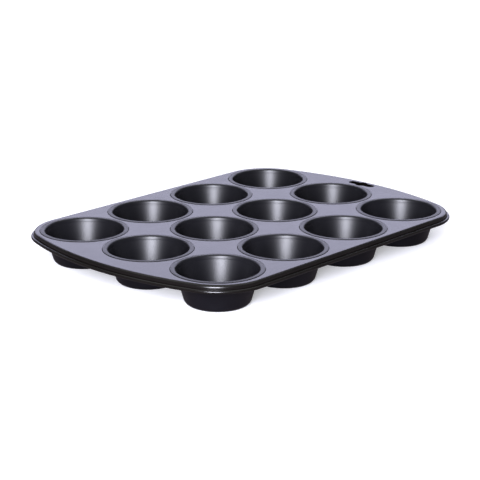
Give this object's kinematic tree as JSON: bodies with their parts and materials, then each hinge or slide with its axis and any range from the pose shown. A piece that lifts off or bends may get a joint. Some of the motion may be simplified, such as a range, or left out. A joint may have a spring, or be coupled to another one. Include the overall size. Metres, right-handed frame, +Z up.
{
  "type": "muffin tin",
  "caption": "Muffin tin: dark non-stick coated steel sheet with a rolled wired rim, drawn cups clinched into it and a slot to hang it by.",
  "frame": {"origin": "middle of the underside: the point on the resting plane below the middle of the tin, with the cup bases at z = 0", "axes": "+X along the long side, towards the end with the hanging slot; +Y along the short side; +Z up out of the cup mouths"},
  "size_m": [0.359, 0.255, 0.0296],
  "materials": {
    "frame_coating": "dark non-stick coating, satin to glossy, slightly brown on its edges",
    "cup_coating": "dark non-stick coating, satin, with fine draw marks",
    "wire_steel": "bare drawn wire, hidden inside the rolled rim"
  },
  "bodies": {
    "root": {"frame_sheet": "frame_coating", "rim_wire": "wire_steel", "cup_1_1": "cup_coating", "cup_1_2": "cup_coating", "cup_1_3": "cup_coating", "cup_2_1": "cup_coating", "cup_2_2": "cup_coating", "cup_2_3": "cup_coating", "cup_3_1": "cup_coating", "cup_3_2": "cup_coating", "cup_3_3": "cup_coating", "cup_4_1": "cup_coating", "cup_4_2": "cup_coating", "cup_4_3": "cup_coating"}
  },
  "joints": []
}
